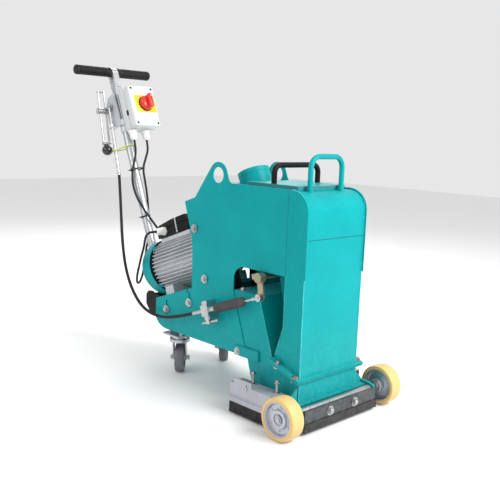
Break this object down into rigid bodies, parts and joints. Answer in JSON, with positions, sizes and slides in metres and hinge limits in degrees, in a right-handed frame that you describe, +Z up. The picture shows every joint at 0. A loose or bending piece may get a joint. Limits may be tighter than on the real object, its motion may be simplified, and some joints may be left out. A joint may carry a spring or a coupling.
{
  "type": "floor shot blaster",
  "caption": "Walk-behind floor shot blaster: belt-driven blast wheel in a leaning chute, separator column, dust port, tilted motor, mast with valve lever and switch, wheels and floor seals.",
  "frame": {"origin": "on the floor under the middle of the overall box", "axes": "+Y from the front wheels towards the operator's handle, +X to the machine's left, +Z up"},
  "size_m": [0.5074, 1.2866, 1.0778],
  "materials": {
    "teal": "semi-gloss teal paint",
    "silver": "silver-grey paint",
    "galvanised": "galvanised",
    "steel": "machined and zinc-plated",
    "dark_steel": "dark oiled steel",
    "wear_steel": "shot-polished cast steel",
    "black_paint": "satin black",
    "black_plastic": "matt",
    "black_gloss": "gloss phenolic",
    "box_grey": "light grey enclosure",
    "red_plastic": "red",
    "white_plastic": "off-white nylon",
    "polyurethane": "cream-yellow polyurethane",
    "hub_aluminium": "cast",
    "grey_rubber": "matt",
    "black_rubber": "matt",
    "grip_rubber": "ribbed",
    "bristle": "black bristle and lip"
  },
  "bodies": {
    "chassis": {"side_plate_left": "teal", "side_plate_right": "teal", "plenum_duct": "teal", "mouth_box": "teal", "wheel_housing": "teal", "housing_top_plate": "teal", "wear_liners": "wear_steel", "front_cover": "teal", "dust_port": "teal", "carry_handle": "teal", "lid_gasket": "grey_rubber", "shot_hopper": "teal", "feed_spout": "teal", "control_cage": "wear_steel", "bearing_housing": "wear_steel", "drive_belts": "black_rubber", "motor_frame": "silver", "fan_cowl": "teal", "motor_base": "teal", "terminal_box": "black_paint", "tail_floor": "teal", "mast_foot": "black_paint", "mast_tube": "galvanised", "mast_brackets": "silver", "push_pull_cable": "black_rubber", "cable_fittings": "steel", "cable_boot": "black_rubber", "switch_box": "box_grey", "cable_glands": "white_plastic", "motor_leads": "black_rubber", "front_axle": "steel", "caster_plates": "galvanised", "seal_holders": "dark_steel", "seal_strips": "bristle", "fasteners": "steel"},
    "motor_rotor": {"motor_rotor": "steel", "cooling_fan": "black_plastic"},
    "blast_wheel": {"blast_wheel": "wear_steel", "wheel_blades": "wear_steel", "wheel_shaft": "steel"},
    "front_wheel_right": {"hub_right": "hub_aluminium", "tyre_right": "polyurethane"},
    "front_wheel_left": {"hub_left": "hub_aluminium", "tyre_left": "polyurethane"},
    "caster_swivel_right": {"caster_fork_right": "galvanised"},
    "caster_wheel_right": {"caster_hub_right": "hub_aluminium", "caster_tread_right": "grey_rubber"},
    "caster_swivel_left": {"caster_fork_left": "galvanised"},
    "caster_wheel_left": {"caster_hub_left": "hub_aluminium", "caster_tread_left": "grey_rubber"},
    "control_lever": {"control_lever": "steel", "lever_knob": "black_gloss"},
    "pull_rod": {"pull_rod": "steel"},
    "push_rod": {"push_rod": "steel"},
    "feed_valve": {"feed_valve": "steel"},
    "switch_knob": {"switch_knob": "red_plastic"},
    "lid": {"lid": "teal", "lid_handle": "black_paint"},
    "handle": {"handle_stem": "galvanised", "handle_grips": "grip_rubber"}
  },
  "joints": [
    {"name": "motor_spin", "type": "hinge", "parent": "chassis", "child": "motor_rotor", "pos_m": [0, 0.07256, 0.39999], "axis": [0, -0.9397, 0.342], "continuous": true},
    {"name": "blast_wheel_spin", "type": "hinge", "parent": "chassis", "child": "blast_wheel", "pos_m": [0, -0.36185, 0.2298], "axis": [0, -0.9397, 0.342], "continuous": true},
    {"name": "front_wheel_right_spin", "type": "hinge", "parent": "chassis", "child": "front_wheel_right", "pos_m": [-0.2297, -0.58085, 0.0625], "axis": [1, 0, 0], "continuous": true},
    {"name": "front_wheel_left_spin", "type": "hinge", "parent": "chassis", "child": "front_wheel_left", "pos_m": [0.2297, -0.58085, 0.0625], "axis": [1, 0, 0], "continuous": true},
    {"name": "caster_right_swivel", "type": "hinge", "parent": "chassis", "child": "caster_swivel_right", "pos_m": [-0.104, 0.03715, 0.135], "axis": [0, 0, 1], "continuous": true},
    {"name": "caster_right_roll", "type": "hinge", "parent": "caster_swivel_right", "child": "caster_wheel_right", "pos_m": [-0.08316, 0.05873, 0.05], "axis": [0.7193, -0.6947, 0], "continuous": true},
    {"name": "caster_left_swivel", "type": "hinge", "parent": "chassis", "child": "caster_swivel_left", "pos_m": [0.104, 0.03715, 0.135], "axis": [0, 0, 1], "continuous": true},
    {"name": "caster_left_roll", "type": "hinge", "parent": "caster_swivel_left", "child": "caster_wheel_left", "pos_m": [0.12484, 0.05873, 0.05], "axis": [0.7193, -0.6947, 0], "continuous": true},
    {"name": "lever_turn", "type": "hinge", "parent": "chassis", "child": "control_lever", "pos_m": [-0.052, 0.61392, 0.90674], "axis": [1, 0, 0], "range_deg": [0, 50]},
    {"name": "pull_rod_slide", "type": "slide", "parent": "chassis", "child": "pull_rod", "axis": [0, -0.2728, -0.9621], "range_m": [0, 0.02368]},
    {"name": "push_rod_slide", "type": "slide", "parent": "chassis", "child": "push_rod", "axis": [0, -0.9397, 0.342], "range_m": [0, 0.02368]},
    {"name": "feed_valve_turn", "type": "hinge", "parent": "chassis", "child": "feed_valve", "pos_m": [-0.1, -0.39385, 0.421], "axis": [-1, 0, 0], "range_deg": [0, 23.1]},
    {"name": "switch_turn", "type": "hinge", "parent": "chassis", "child": "switch_knob", "pos_m": [0.046, 0.46849, 0.94042], "axis": [0, -0.92, 0.3919], "range_deg": [0, 90]},
    {"name": "lid_lift", "type": "slide", "parent": "chassis", "child": "lid", "axis": [0, 0, 1], "range_m": [0, 0.15]},
    {"name": "handle_height", "type": "slide", "parent": "chassis", "child": "handle", "axis": [0, 0.3919, 0.92], "range_m": [0, 0.08]}
  ],
  "couplings": [
    {"joint": "blast_wheel_spin", "follows": "motor_spin", "ratio": 1.25},
    {"joint": "pull_rod_slide", "follows": "lever_turn", "m_per_rad": 0.027127},
    {"joint": "push_rod_slide", "follows": "lever_turn", "m_per_rad": 0.027127},
    {"joint": "feed_valve_turn", "follows": "lever_turn", "ratio": 0.4618}
  ]
}
